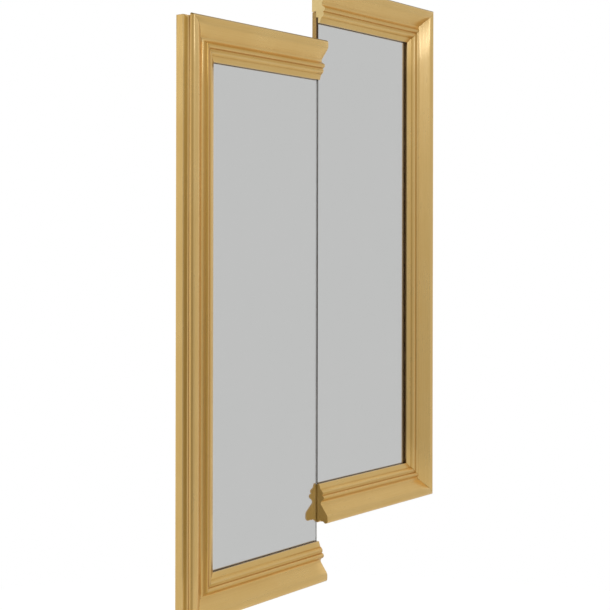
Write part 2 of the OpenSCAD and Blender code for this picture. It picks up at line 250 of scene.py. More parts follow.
def buildWorld():
    world = bpy.data.worlds.new("studioWorld")
    scene.world = world
    world.use_nodes = True
    book = NodeBook(world.node_tree)
    book.tree.nodes.clear()
    across, along, up = book.split(book.node("ShaderNodeTexCoord", out="Generated"))
    bearing = across.arctan2(along) / (2 * pi) + 0.5

    def byBearing(amounts):
        stops = [(turn / 360 + 0.5, (amount, amount, amount, 1)) for turn, amount in amounts]
        return book.node("ShaderNodeValToRGB", {"stops": stops}, {0: bearing})

    away = up.between(*studio["liftAbove"]).most(
        up.between(*studio["liftBelow"]) * studio["liftShareBelow"])
    level = byBearing(studio["around"]) + byBearing(studio["lift"]) * away
    level = level + (studio["overhead"] - level) * up.size().between(*studio["overheadFrom"])
    behind = along.between(*studio["behindAlong"]) * up.between(*studio["behindUp"])
    level = level * (1 - studio["behindShade"] * behind)
    path = book.node("ShaderNodeLightPath", out="Is Camera Ray")
    mirrored = path.also("Is Glossy Ray").most(path.also("Is Transmission Ray"))
    seen = path.most(mirrored * byBearing(studio["backdrop"]) * (1 - behind))
    strength = level + seen * (1 - level)
    light = book.node("ShaderNodeBackground", None, {"Color": (1, 1, 1, 1), "Strength": strength})
    book.node("ShaderNodeOutputWorld", None, {"Surface": light})


def addSoftLamp(name, place, size, power, tint):
    data = bpy.data.lights.new(name, "AREA")
    data.shape, data.size, data.energy, data.color = "DISK", size, power, tint
    lamp = linkObject(name, data)
    lamp.matrix_world = aimed(place, -Vector(place))
    lamp.visible_camera = False


def floorFinish():
    book = Finish("paleFloor")
    colour = book.layers(studio["floorColour"],
                         (book.noise(3.0, 4) * 0.25, studio["floorGrain"]))
    surface = book.node("ShaderNodeBsdfDiffuse", None, {"Color": colour})
    seen = book.node("ShaderNodeLightPath", out="Is Camera Ray")
    strength = (studio["floorGlow"] * seen
                + studio["floorGlowMirrored"] * seen.also("Is Glossy Ray"))
    glow = book.node("ShaderNodeEmission", None, {"Color": (1, 1, 1, 1), "Strength": strength})
    both = book.node("ShaderNodeAddShader", None, {0: surface, 1: glow})
    book.node("ShaderNodeOutputMaterial", None, {"Surface": both})
    return book.material


def addFloor():
    shape = bmesh.new()
    bmesh.ops.create_circle(shape, cap_ends=True, segments=96, radius=studio["floorReach"])
    mesh = bpy.data.meshes.new("studioFloor")
    shape.to_mesh(mesh)
    shape.free()
    mesh.materials.append(floorFinish())
    floor = linkObject("studioFloor", mesh)
    floor.location.z = -studio["floorDrop"]


buildWorld()
for lampName, lampValues in studio["lamps"].items():
    addSoftLamp(lampName, *lampValues)
addFloor()
print("studio lit")


# Finishes

gilt = {
    "pale": shade(254, 216, 142),
    "deep": shade(240, 198, 118),
    # paler leaf on the proud arrises: partly wear, partly painted highlight
    "rubbedAndHighlit": shade(255, 226, 164),
    "grooveShade": shade(208, 146, 40),
    # painted shade: the colour of the shade bands
    "toned": shade(206, 152, 44),
    "sight": shade(122, 88, 46),
    "dark": shade(96, 66, 22),
    "cutTone": shade(224, 178, 92),
    # painted light: the upper end at the cut, above the left half, made paler where light falls on
    # it
    "cutEndLit": shade(255, 226, 158), "cutEndLitFrom": (0.500, 0.516),
    # painted shade: a darker line along the upper arris of the right top rail, and of the left one
    # up to the cut
    "dustAndArrisShade": shade(116, 96, 48), "arrisShadeShare": 0.75, "arrisShadeDepth": (-0.0430, -0.0460),
    "arrisShadeRight": (0.5964, 0.5978), "arrisShadeLeft": (0.4814, 0.4828),
    "arrisShadeLeftTop": (0.4866, 0.4856), "arrisShadeLeftAcross": (0.001, -0.001),
    "metal": 0.8,
    "rough": 0.3,
}


def giltFinish():
    book = Finish("giltLeaf")
    leaf = book.attribute("leaf", "Vector")
    recess, proud, toning, sight, cut, mitre = (book.attribute(name) for name in (
        "recess", "proud", "toning", "sightTone", "cut", "fromMitre"))
    face = 1 - cut
    strokes = book.noise((7, 620, 1), 3, 0.6, vector=leaf)
    threads = book.noise((22, 2600, 1), 2, 0.6, vector=leaf)
    clouds = book.noise(11.0, 4, 0.55)
    grain = book.noise(900.0, 2, 0.6)
    sheen = ((strokes - 0.5) * 0.9 + (threads - 0.5) * 0.35) * face + (clouds - 0.5) * 0.8
    tone = (0.5 + sheen).between(0.0, 1.0)
    groove = recess.between(0.18, 0.62)
    across, depth, height = book.split(book.place)
    # painted shade along the upper front arris of the top rails
    dustAndArrisShade = height.between(*gilt["arrisShadeRight"]).most(
        height.between(*gilt["arrisShadeLeft"]) * height.between(*gilt["arrisShadeLeftTop"])
        * across.between(*gilt["arrisShadeLeftAcross"]))
    dustAndArrisShade = dustAndArrisShade * depth.between(*gilt["arrisShadeDepth"]) * gilt["arrisShadeShare"]
    specks = book.cells(240.0).between(0.10, 0.03) * book.noise(26.0, 1).between(0.62, 0.7)
    joint = mitre.between(0.0009, 0.0001) * book.noise(300.0).between(0.35, 0.6)
    colour = book.layers(
        gilt["deep"],
        (tone, gilt["pale"]),
        # painted shade: darker bands where the members turn from the light
        ((toning * (0.86 + 0.5 * (strokes - 0.5))).between(0.0, 1.0) * face, gilt["toned"]),
        # painted shade: a darker, warmer gold in the grooves, by the share of sky that the profile
        # hides there
        (groove * 0.6 * face, gilt["grooveShade"]),
        # partly wear and partly painted highlight: paler leaf on the proud arrises
        (proud.between(0.05, 0.5) * 0.35 * (1 - toning), gilt["rubbedAndHighlit"]),
        (sight * face, gilt["sight"]),
        # painted shade line on the upper arris
        (dustAndArrisShade * face, gilt["dustAndArrisShade"]),
        (cut * (0.5 + 0.6 * clouds), gilt["cutTone"]),
        # painted light on the upper cut end
        (cut * height.between(*gilt["cutEndLitFrom"]), gilt["cutEndLit"]),
        ((specks * 0.7).most(joint * 0.55), gilt["dark"]))
    rough = gilt["rough"] + (0.5 - tone) * 0.16 + groove * 0.12 + cut * 0.08
    relief = strokes * 0.5 + threads * 0.25 + clouds * 0.8 + grain * 0.12
    return book.done(colour, rough, (relief, 0.22, 0.0006), Metallic=gilt["metal"])


def woodBackFinish():
    # Bare wood at the moulding's back and in its rebates
    book = Finish("mouldingBackWood")
    leaf = book.attribute("leaf", "Vector")
    rings = book.noise((5, 260, 1), 4, 0.6, 0.4, leaf)
    pores = book.noise((60, 2400, 1), vector=leaf)
    colour = book.layers(
        shade(206, 176, 132),
        (rings.between(0.3, 0.7), shade(178, 140, 94)),
        (pores.between(0.62, 0.75) * 0.5, shade(128, 92, 56)),
        (book.noise(20.0, 3).between(0.66, 0.78) * 0.35, shade(196, 158, 92)))
    return book.done(colour, 0.62 + rings * 0.12, (rings + pores * 0.6, 0.25, 0.0005))


glass = {
    "bend": 1.52,
    "clear": (1.0, 1.0, 1.0, 1), "film": (0.985, 0.995, 0.99, 1),
    "ground": (0.92, 0.92, 0.86, 1), "frost": (0.86, 0.86, 0.80, 1),
    # painted reflection: a dark gold band on the ground edge, where the cut end of the right bottom
    # rail lies against it, standing for that cut end seen in shade through the edge
    "cutEndReflection": (0.70, 0.40, 0.07, 1),
    "cutEndReflectionTop": (-0.406, -0.410), "cutEndReflectionFoot": (-0.487, -0.483),
    "silver": (0.955, 0.958, 0.952, 1), "silverCloud": (0.945, 0.950, 0.944, 1),
}


def clearGlassFinish():
    book = Finish("clearGlass")
    film = book.noise(6.0, 3)
    colour = book.layers(glass["clear"], (film, glass["film"]))
    return book.done(colour, film.between(0.5, 0.9) * 0.006, IOR=glass["bend"],
                     Transmission_Weight=1.0)


def groundEdgeFinish():
    # The cut edge that is left bare: ground, so that it passes light without a picture
    book = Finish("groundGlassEdge")
    frost = book.noise(500.0, 3)
    height = book.split(book.place)[2]
    # painted reflection of the shaded cut end, as a metallic gold band on the edge
    reflectingCutEnd = height.between(*glass["cutEndReflectionTop"]) * height.between(*glass["cutEndReflectionFoot"])
    colour = book.layers(glass["ground"], (frost, glass["frost"]), (reflectingCutEnd, glass["cutEndReflection"]))
    return book.done(colour, 0.40 + frost * 0.15, Metallic=reflectingCutEnd, IOR=glass["bend"],
                     Transmission_Weight=1.0)


def silverFinish():
    book = Finish("silvering")
    cloud = book.noise(3.0, 3)
    colour = book.layers(glass["silver"], (cloud, glass["silverCloud"]))
    return book.done(colour, cloud.between(0.4, 0.9) * 0.01, Metallic=1.0)


def paintedEdgeFinish():
    book = Finish("paintedGlassEdge")
    coat = book.noise(160.0, 3)
    chips = book.noise(420.0).between(0.70, 0.76)
    colour = book.layers(shade(98, 74, 38), (coat, shade(72, 52, 26)),
                         (chips * 0.5, shade(104, 92, 66)))
    return book.done(colour, 0.5 + coat * 0.2, (coat, 0.2, 0.0004))


def fibreboardFinish(name, light, dark, toned):
    book = Finish(name)
    fibres = book.noise(210.0, 5, 0.7)
    clouds = book.noise(7.0, 3)
    flecks = book.cells(700.0, book.stretched((1, 1, 0.45))).between(0.28, 0.1)
    colour = book.layers(
        light,
        (fibres.between(0.3, 0.7), dark),
        (clouds.between(0.35, 0.75) * 0.3, toned),
        (flecks * 0.35, shade(98, 70, 42)))
    return book.done(colour, 0.74 + fibres * 0.12, (fibres + flecks * 0.3, 0.25, 0.0004))


ply = {"thick": 0.012, "sheets": 7}


def plyFaceFinish():
    book = Finish("plyFace")
    wave = book.split(book.place)[0] * 95 + book.noise((9, 9, 1.1), 3) * 9
    rings = book.node("ShaderNodeTexNoise", {"noise_dimensions": "1D"},
                      {"W": wave, "Scale": 1.0, "Detail": 3.0})
    pores = book.noise((1500, 1500, 42))
    colour = book.layers(
        shade(222, 192, 148),
        (rings.between(0.3, 0.72), shade(190, 150, 102)),
        (pores.between(0.6, 0.72) * 0.45, shade(140, 102, 64)))
    return book.done(colour, 0.55 + rings * 0.12, (rings * 0.4 + pores, 0.25, 0.0004))


def plyEdgeFinish():
    book = Finish("plyEdge")
    sheet = book.split(book.place)[1] * -1 / ply["thick"] * ply["sheets"]  # 0 at the wall
    across = (sheet + book.noise(60.0) * 0.12).floor().modulo(2.0)
    glue = (sheet.fract() - 0.5).size().between(0.44, 0.49)
    pores = book.noise((900, 2600, 140), 3)
    colour = book.layers(
        shade(212, 180, 134),
        (across, shade(164, 122, 78)),
        (pores.between(0.45, 0.75) * 0.5, shade(134, 96, 58)),
        (glue * 0.6, shade(84, 54, 30)))
    return book.done(colour, 0.66 + pores * 0.12, (pores, 0.3, 0.0004))


def foamFinish():
    book = Finish("whiteFoam")
    pores = book.cells(1500.0)
    soft = book.noise(120.0, 3)
    colour = book.layers(
        shade(238, 238, 234),
        (pores.between(0.35, 0.1) * 0.4, shade(206, 206, 200)),
        (soft.between(0.55, 0.8) * 0.2, shade(226, 220, 204)))
    return book.done(colour, 0.85 + soft * 0.1, (pores, 0.4, 0.0003))


def zincFinish():
    book = Finish("yellowZinc")
    tint = book.noise(130.0, 3)
    brush = book.noise((900, 3000, 900), 3)
    colour = book.layers(
        shade(214, 196, 140),
        (tint.between(0.3, 0.7), shade(196, 192, 178)),
        (tint.between(0.66, 0.8) * 0.5, shade(206, 170, 150)),
        (brush.between(0.6, 0.8) * 0.3, shade(150, 140, 112)))
    return book.done(colour, 0.26 + brush * 0.18, (brush, 0.15, 0.0002), Metallic=0.95)


def steelFinish(name, bright, dull, rough):
    book = Finish(name)
    brush = book.noise((60, 900, 2400), 4)
    stain = book.noise(70.0, 4)
    colour = book.layers(
        bright,
        (brush.between(0.25, 0.75), dull),
        (stain.between(0.6, 0.8) * 0.4, shade(120, 112, 102)))
    return book.done(colour, rough + brush * 0.2 + stain * 0.08,
                     (brush + stain * 0.4, 0.2, 0.0003), Metallic=0.95)


def rubberFinish():
    book = Finish("blackRubber")
    skin = book.noise(1400.0)
    dustAndArrisShade = book.noise(90.0, 4)
    colour = book.layers(shade(34, 34, 35), (dustAndArrisShade.between(0.5, 0.8) * 0.5, shade(74, 73, 71)))
    return book.done(colour, 0.66 + dustAndArrisShade * 0.2, (skin + dustAndArrisShade * 0.4, 0.3, 0.0002))


finishes = {
    "gilt": giltFinish(),
    "backWood": woodBackFinish(),
    "glass": clearGlassFinish(),
    "silver": silverFinish(),
    "glassEdge": paintedEdgeFinish(),
    "groundEdge": groundEdgeFinish(),
    "board": fibreboardFinish("fibreboard", shade(186, 150, 104), shade(160, 122, 78),
                              shade(172, 134, 84)),
    "boardEdge": fibreboardFinish("fibreboardEdge", shade(232, 194, 122), shade(206, 168, 98),
                                  shade(222, 182, 112)),
    "plyFace": plyFaceFinish(),
    "plyEdge": plyEdgeFinish(),
    "foam": foamFinish(),
    "zinc": zincFinish(),
    "nailSteel": steelFinish("nailSteel", shade(176, 178, 182), shade(126, 128, 134), 0.34),
    "plateSteel": steelFinish("plateSteel", shade(206, 208, 210), shade(168, 171, 174), 0.26),
    "rubber": rubberFinish(),
}
print("finishes mixed,", len(finishes))


# Shared making tools

def flatten(piece):
    # The evaluated shape becomes the piece's own mesh, and its modifiers go
    graph = bpy.context.evaluated_depsgraph_get()
    mesh = bpy.data.meshes.new_from_object(piece.evaluated_get(graph))
    old = piece.data
    piece.modifiers.clear()
    piece.data = mesh
    mesh.name = piece.name
    if old.users == 0:
        bpy.data.meshes.remove(old)
    return piece


def openMesh(mesh, merge=True):
    shape = bmesh.new()
    shape.from_mesh(mesh)
    if merge:
        bmesh.ops.remove_doubles(shape, verts=shape.verts, dist=1e-6)
    return shape


def closeMesh(shape, mesh):
    # Turns the faces outward and writes the shape into the mesh
    bmesh.ops.recalc_face_normals(shape, faces=shape.faces)
    shape.to_mesh(mesh)
    shape.free()
    return mesh


def outlineMesh(name, points, marks):
    # A closed wire through the points, with one number of every mark at each of them
    mesh = bpy.data.meshes.new(name)
    count = len(points)
    mesh.from_pydata([(x, y, 0) for x, y in points],
                     [(i, (i + 1) % count) for i in range(count)], [])
    for label, values in marks.items():
        layer = mesh.attributes.new(label, "FLOAT", "POINT")
        layer.data.foreach_set("value", np.array(values, np.float32))
    return mesh


def pointsObject(name, places, y):
    mesh = bpy.data.meshes.new(name)
    mesh.from_pydata([(x, y, z) for x, z in places], [], [])
    return linkObject(name, mesh)


def smoothByAngle(mesh, angle):
    mesh.shade_smooth()
    mesh.set_sharp_from_angle(angle=radians(angle))


def shapeTree(name, **inputs):
    # An empty Geometry Nodes tree, its inputs listed by kind; returns the book and their wires
    tree = bpy.data.node_groups.new(name, "GeometryNodeTree")

    def socket(label, kind, way="INPUT"):
        tree.interface.new_socket(label, in_out=way, socket_type="NodeSocket" + kind)

    socket("Geometry", "Geometry")
    socket("Geometry", "Geometry", "OUTPUT")
    for kind, labels in inputs.items():
        for label in labels:
            socket(label, kind)
    book = NodeBook(tree)
    entry = tree.nodes.new("NodeGroupInput")
    return book, {made.name: Wire(book, entry, made) for made in entry.outputs if made.name}


def finishTree(book, geometry, material):
    whole = book.geo("RealizeInstances", {"Geometry": geometry})
    dressed = book.geo("SetMaterial", {"Geometry": whole, "Material": material})
    book.node("NodeGroupOutput", None, {"Geometry": dressed})
    return book.tree


def runTree(piece, tree, values):
    modifier = piece.modifiers.new(tree.name, "NODES")
    modifier.node_group = tree
    sockets = {item.name: item.identifier for item in tree.interface.items_tree
               if item.item_type == "SOCKET" and item.in_out == "INPUT"}
    for name, value in values.items():
        modifier[sockets[name]] = value
    return flatten(piece)


def named(book, name):
    return book.geo("InputNamedAttribute", {"Name": name}, {"data_type": "FLOAT"})


def keep(book, geometry, name, value, kind="FLOAT"):
    return book.geo("StoreNamedAttribute", {"Geometry": geometry, "Name": name, "Value": value},
                    {"data_type": kind, "domain": "POINT"})


def numberedLine(book, count):
    # A line of count points, each with its own number as "ring"
    line = book.geo("CurvePrimitiveLine", {"Start": (0, 0, 0), "End": (0, 0, 1)})
    rail = book.geo("ResampleCurve", {"Curve": line, "Count": count})
    return keep(book, rail, "ring", book.geo("InputIndex"))


def numberedCircle(book, count):
    # A circle of count points, each with its share of the round as "turn"
    circle = book.geo("CurvePrimitiveCircle", {"Resolution": count, "Radius": 1.0},
                      {"mode": "RADIUS"})
    return keep(book, circle, "turn", book.geo("InputIndex") / count)


def turned(book, geometry, reach, y):
    # Puts each point at its turn round the y axis
    angle = named(book, "turn") * (2 * pi)
    spot = book.join(reach * angle.cosine(), y, reach * angle.sine())
    return book.geo("SetPosition", {"Geometry": geometry, "Position": spot})


# Moulding section: x is the distance in from the outer edge, y the distance off the back

section = {
    "depth": 0.042, "lobe": 0.0055, "frontFlat": 0.006, "shoulder": 0.012, "slope": 37,
    "scoop": 0.0055, "scoopFloor": 0.0253, "riser": 60, "bead": 0.0052, "beadTop": 0.0332,
    "quirk": 0.0018, "quirkDepth": 0.0013, "fillet": 0.0054, "filletTop": 0.0298,
    "bevelRun": 0.0047, "lipStep": 0.0011, "lip": 0.0106, "lipThick": 0.005, "lipRise": 0.0037,
    "band": 0.0003, "bandHeight": 0.0173, "cove": 0.0047, "sideBead": 0.0015,
    "sideBeadCorner": 0.0006, "sideQuirk": 0.0012, "sideFillet": 0.0014, "sideRelief": 0.002,
    "boardBed": 0.0108, "glassBed": 0.0156, "glassRebate": 0.012, "boardLedge": 0.012,
    "step": 0.0001,  # between the points at which the outline is worked out
    "keptTurn": 13, "keptReach": 0.0016,  # furthest apart that the kept points may lie
    "softening": 0.00028,  # how far paint and leaf round the arrises
    "broad": 0.0011, "rubbedAndHighlitHeight": 0.0004,  # how high a member stands over this rounding
    "skyReach": 0.009,  # how far off a member still shades a recess
    "endEase": 0.0004,  # rounds the way the end faces draw in, so that they don't cross themselves
    # painted shade: darker bands over the leaf where the profile's members turn from the light:
    # distance in, reach either way, strength
    "toning": ((0.0476, 0.0026, 0.78), (0.0586, 0.0014, 0.5), (0.0670, 0.0011, 0.5),
               (0.056, 0.009, 0.20), (0.0008, 0.0014, 0.52)),
    "shadeBandsFrom": 0.0205,  # off the back
    # the same painted shade at the side, by distance off the back
    "sideShadeBands": ((0.0206, 0.0040, 0.76), (0.0291, 0.0009, 0.7)),
    "sideShadeBandsFrom": 0.0175, "sideShadeBandsIn": 0.006,
    # the dark sight line: where it begins and how far it takes to its full tone or its end
    "sightIn": (0.0005, 0.0003), "sightOff": (0.0208, 0.0036),
}


def arcPoints(centre, radius, first, last):
    count = max(3, int(abs(last - first) / 4) + 1)
    turns = [radians(first + (last - first) * i / (count - 1)) for i in range(count)]
    return [(centre[0] + radius * cos(t), centre[1] + radius * sin(t)) for t in turns]


def sectionOutline():
    s = section
    slope, riser = radians(s["slope"]), radians(s["riser"])
    shoulder = (s["lobe"] + s["frontFlat"], s["depth"] - s["shoulder"])
    slopeTop = (shoulder[0] + s["shoulder"] * sin(slope), shoulder[1] + s["shoulder"] * cos(slope))
    scoopDepth = s["scoopFloor"] + s["scoop"]
    scoopRun = (s["scoop"] + (slopeTop[1] - scoopDepth) * cos(slope)) / sin(slope)
    scoop = (slopeTop[0] + scoopRun, scoopDepth)
    riserFoot = (scoop[0] + s["scoop"] * sin(riser), scoop[1] - s["scoop"] * cos(riser))
    beadDepth = s["beadTop"] - s["bead"]
    beadRun = (s["bead"] + (beadDepth - riserFoot[1]) * cos(riser)) / sin(riser)
    bead = (riserFoot[0] + beadRun, beadDepth)
    quirkFloor = s["filletTop"] - s["quirkDepth"]
    quirkStart = degrees(asin((quirkFloor - bead[1]) / s["bead"]))
    filletIn = bead[0] + s["bead"] + s["quirk"]
    filletOut = filletIn + s["fillet"]
    lipIn = filletOut + s["bevelRun"]
    sight = lipIn + s["lip"]
    lipLow = s["glassBed"] + s["lipThick"]
    lipHigh = lipLow + s["lipRise"]
    glassRebate = sight - s["glassRebate"]
    boardRebate = glassRebate - s["boardLedge"]
    filletFoot = s["depth"] - 2 * s["lobe"] - s["sideFillet"]
    coveTop = filletFoot - s["sideQuirk"] - 2 * s["sideBead"]
    beadHead = coveTop + 2 * s["sideBead"]
    hollow = s["band"] + s["cove"]
    coveRise = coveTop - s["bandHeight"]
    coveRadius = (coveRise ** 2 + s["cove"] ** 2) / (2 * s["cove"])
    coveStart = -degrees(asin(coveRise / coveRadius))
    relief = hollow - s["sideRelief"]
    corner = s["sideBeadCorner"]
    lobe = (s["lobe"], s["depth"] - s["lobe"])
    meet = degrees(atan2(sqrt(s["lobe"] ** 2 - (lobe[0] - relief) ** 2), lobe[0] - relief))
    outline = [(s["band"], 0.0)]
    outline += arcPoints((hollow - coveRadius, coveTop), coveRadius, coveStart, 0)
    outline += arcPoints((relief + corner, coveTop + corner), corner, 270, 180)
    outline += arcPoints((relief + corner, beadHead - corner), corner, 180, 90)
    outline += [(hollow, beadHead), (hollow, filletFoot), (relief, filletFoot)]
    outline += arcPoints(lobe, s["lobe"], 180 + meet, 90)
    outline += arcPoints(shoulder, s["shoulder"], 90, 90 - s["slope"])
    outline += arcPoints(scoop, s["scoop"], -90 - s["slope"], s["riser"] - 90)
    outline += arcPoints(bead, s["bead"], 90 + s["riser"], quirkStart)
    outline += [(filletIn, quirkFloor), (filletIn, s["filletTop"]), (filletOut, s["filletTop"]),
                (lipIn, lipHigh + s["lipStep"]), (lipIn, lipHigh), (sight, lipLow),
                (sight, s["glassBed"]), (glassRebate, s["glassBed"]),
                (glassRebate, s["boardBed"]), (boardRebate, s["boardBed"]), (boardRebate, 0.0)]
    return np.array(outline), sight


def evenly(points, step):
    # The closed outline again, with points an even step apart
    closed = np.vstack([points, points[:1]])
    lengths = np.hypot(*np.diff(closed, axis=0).T)
    reach = np.concatenate([[0], np.cumsum(lengths)])
    wanted = np.linspace(0, reach[-1], int(reach[-1] / step), endpoint=False)
    return np.stack([np.interp(wanted, reach, closed[:, axis]) for axis in (0, 1)], 1)


def rounded(points, step, spread):
    # Gaussian rounding of a closed outline
    half = int(4 * spread / step) + 1
    weights = np.exp(-0.5 * (np.arange(-half, half + 1) * step / spread) ** 2)
    weights /= weights.sum()
    return sum(w * np.roll(points, k, axis=0) for w, k in zip(weights, range(-half, half + 1)))


def thinned(points, turnLimit, stepLimit, step):
    # Indices to keep: close together on curves, further apart on flats
    ahead = np.roll(points, -1, axis=0) - points
    heading = np.unwrap(np.arctan2(ahead[:, 1], ahead[:, 0]))
    kept, last = [0], 0
    for i in range(1, len(points)):
        if abs(heading[i] - heading[last]) > turnLimit or (i - last) * step > stepLimit:
            kept.append(i)
            last = i
    return np.array(kept)


def skyHidden(points, normals, reach):
    # Share of the sky that the outline hides from each of its points, within reach
    swings = np.radians(np.linspace(-80, 80, 17))
    edges = np.roll(points, -1, axis=0) - points
    away = points[None] - (points + normals * 1e-5)[:, None]
    hidden = np.zeros(len(points))
    for swing in swings:
        look = np.stack([normals[:, 0] * cos(swing) - normals[:, 1] * sin(swing),
                         normals[:, 0] * sin(swing) + normals[:, 1] * cos(swing)], 1)
        cross = look[:, None, 0] * edges[None, :, 1] - look[:, None, 1] * edges[None, :, 0]
        cross = np.where(np.abs(cross) < 1e-12, 1e-12, cross)
        along = (away[..., 0] * edges[None, :, 1] - away[..., 1] * edges[None, :, 0]) / cross
        share = (away[..., 0] * look[:, None, 1] - away[..., 1] * look[:, None, 0]) / cross
        hit = (along > 1e-6) & (along < reach) & (share >= 0) & (share <= 1)
        hidden += hit.any(1) * cos(swing)
    return hidden / sum(cos(swing) for swing in swings)


def sectionMesh():
    s, step = section, section["step"]
    outline, sight = sectionOutline()
    fine = rounded(evenly(outline, step), step, s["softening"])
    ahead = np.roll(fine, -1, axis=0) - np.roll(fine, 1, axis=0)
    normal = np.stack([-ahead[:, 1], ahead[:, 0]], 1) / np.hypot(*ahead.T)[:, None]
    proud = ((fine - rounded(fine, step, s["broad"])) * normal).sum(1) / s["rubbedAndHighlitHeight"]
    easing = rounded(normal, step, s["endEase"])
    kept = thinned(fine, radians(s["keptTurn"]), s["keptReach"], step)
    points, normals, easing = fine[kept], normal[kept], easing[kept]
    inward, off = points.T

    def tones(distance, bands):
        return sum(strength * np.exp(-((distance - middle) / reach) ** 2)
                   for middle, reach, strength in bands)

    # painted shade bands, in from the outer edge and down the side cove
    toning = tones(inward, s["toning"]) * (off > s["shadeBandsFrom"])
    atSide = (inward < s["sideShadeBandsIn"]) * (off > s["sideShadeBandsFrom"])
    toning += tones(off, s["sideShadeBands"]) * atSide
    (start, run), (top, drop) = s["sightIn"], s["sightOff"]
    sightTone = ((inward - sight + start) / run).clip(0, 1) * ((top - off) / drop).clip(0, 1)
    return outlineMesh("mouldingSection", points, {
        "inward": inward, "off": off, "easeIn": -easing[:, 0], "easeOff": -easing[:, 1],
        "recess": skyHidden(points, normals, s["skyReach"]), "proud": proud[kept], "toning": toning,
        "sightTone": sightTone, "around": kept * step}), sight


mouldingSection, sightWidth = sectionMesh()
print("moulding section drawn,", len(mouldingSection.vertices), "points")


# One length of moulding, swept and mitred by Geometry Nodes

def mouldingTree():
    book, given = shapeTree(
        "mouldingLength", Int=("Rings",), Material=("Finish",), Vector=("Corner", "Run", "Inward"),
        Float=("Length", "Near Mitre", "Far Mitre", "Near Ease", "Far Ease", "Seed"))
    swept = book.geo("CurveToMesh", {
        "Curve": numberedLine(book, given["Rings"]), "Fill Caps": True,
        "Profile Curve": book.geo("MeshToCurve", {"Mesh": given["Geometry"]})})
    fromNear = named(book, "ring")
    fromFar = given["Rings"] - 1 - fromNear

    def stepIn(ring):  # 0 at the end face, 1 from the third ring on
        return (ring > 0.5) * (ring < 1.5) * 0.3 + (ring > 1.5)

    def pullIn(ring):  # how much the section is drawn in to round the end's edge
        return (ring < 0.5) + (ring > 0.5) * (ring < 1.5) * 0.286

    drawn = given["Near Ease"] * pullIn(fromNear) + given["Far Ease"] * pullIn(fromFar)
    inward = named(book, "inward") + named(book, "easeIn") * drawn
    off = named(book, "off") + named(book, "easeOff") * drawn
    share = ((fromNear - 2) / (given["Rings"] - 5)).between(0.0, 1.0)
    start = given["Near Mitre"] * inward + given["Near Ease"] * stepIn(fromNear)
    end = given["Length"] - given["Far Mitre"] * inward - given["Far Ease"] * stepIn(fromFar)
    along = start + (end - start) * share
    spot = book.moved(given["Corner"], given["Run"], along)
    spot = book.moved(spot, given["Inward"], inward)
    spot = book.moved(spot, (0, -1, 0), off)
    swept = keep(book, swept, "leaf", book.join(along, named(book, "around"), given["Seed"]),
                 "FLOAT_VECTOR")
    nearGap = along - inward + (1 - given["Near Mitre"])
    farGap = given["Length"] - inward - along + (1 - given["Far Mitre"])
    swept = keep(book, swept, "fromMitre", nearGap.least(farGap))
    placed = book.geo("SetPosition", {"Geometry": swept, "Position": spot})
    return finishTree(book, placed, given["Finish"])


halves = {
    "width": 0.4, "height": 1.085, "step": 0.115, "rings": 17,
    "mouldingBack": 0.0112,  # from the wall
    "cutEase": 0.0004, "mitreEase": 0.00015,
    "cutterPast": 0.001,  # how far a cutter stands out of the wood
    "nailFirst": 0.014, "nailPitch": 0.022, "nailLeg": 0.008, "nailThick": 0.0009,
    "nailDepth": 0.01, "nailPast": 0.0003, "nailRoom": 0.00005,
    "bumperIn": 0.028, "bumperEnd": 0.110, "bumperWidth": 0.0184, "bumperSeat": 0.0008,
    "hangerX": 0.2, "hangerDrop": 0.028, "keyhole": 0.010, "slotWidth": 0.005,
    "slotRise": 0.010, "pocketDepth": 0.008, "pocketRoom": 0.002,
}


def footOf(side):
    low = -(halves["height"] + halves["step"]) / 2
    return low if side < 0 else low + halves["step"]


def addPrism(shape, outline, near, far):
    # A closed prism: outline in x and z, from y = near to y = far
    low = [shape.verts.new((x, near, z)) for x, z in outline]
    high = [shape.verts.new((x, far, z)) for x, z in outline]
    shape.faces.new(low)
    shape.faces.new(high)
    count = len(outline)
    for i in range(count):
        shape.faces.new((low[i], low[(i + 1) % count], high[(i + 1) % count], high[i]))


def keyholeOutline(x, z, room):
    entry = halves["keyhole"] / 2 + room
    slot = halves["slotWidth"] / 2 + room
    rise = halves["slotRise"] / 2
    lean = degrees(asin(slot / entry))
    low = arcPoints((x, z - rise), entry, 90 + lean, 450 - lean)
    return low + arcPoints((x, z + rise), slot, 0, 180)


def nailOutline(side, row, end, count):
    # One length's leg of a corner nail, from a little past the mitre
    h, foot = halves, footOf(side)
    inset, room = h["nailFirst"] + count * h["nailPitch"], h["nailRoom"]
    x = side * (h["width"] - inset)
    z = foot + inset if end == 0 else foot + h["height"] - inset
    up = 1 if end == 0 else -1
    wide, tall, left, low = h["nailLeg"], h["nailThick"], -h["nailPast"], 0
    if row == "stile":
        wide, tall, left, low = tall, wide, low, left
    corners = [(left, low), (wide, low), (wide, tall), (left, tall)]
    return [(x - side * (a - room), z + up * (b - room)) for a, b in corners]


def backCuts(side, row):
    # What is cut into a length's back: nail slots, bumper seats, the pocket behind a keyhole
    h = halves
    back, foot = -h["mouldingBack"], footOf(side)
    shape = bmesh.new()

    def sink(outline, depth):
        addPrism(shape, outline, back + h["cutterPast"], back - depth)

    for end in {"stile": (0, 1), "top": (1,), "bottom": (0,)}[row]:
        for count in range(2):
            sink(nailOutline(side, row, end, count), h["nailDepth"])
    if row == "stile":
        for z in (foot + h["bumperEnd"], foot + h["height"] - h["bumperEnd"]):
            seat = (side * (h["width"] - h["bumperIn"]), z)
            sink(arcPoints(seat, h["bumperWidth"] / 2, 0, 356), h["bumperSeat"])
    if row == "top":
        sink(keyholeOutline(side * h["hangerX"], foot + h["height"] - h["hangerDrop"],
                            h["pocketRoom"]), h["pocketDepth"])
    return linkObject("backCuts", closeMesh(shape, bpy.data.meshes.new("backCuts")))


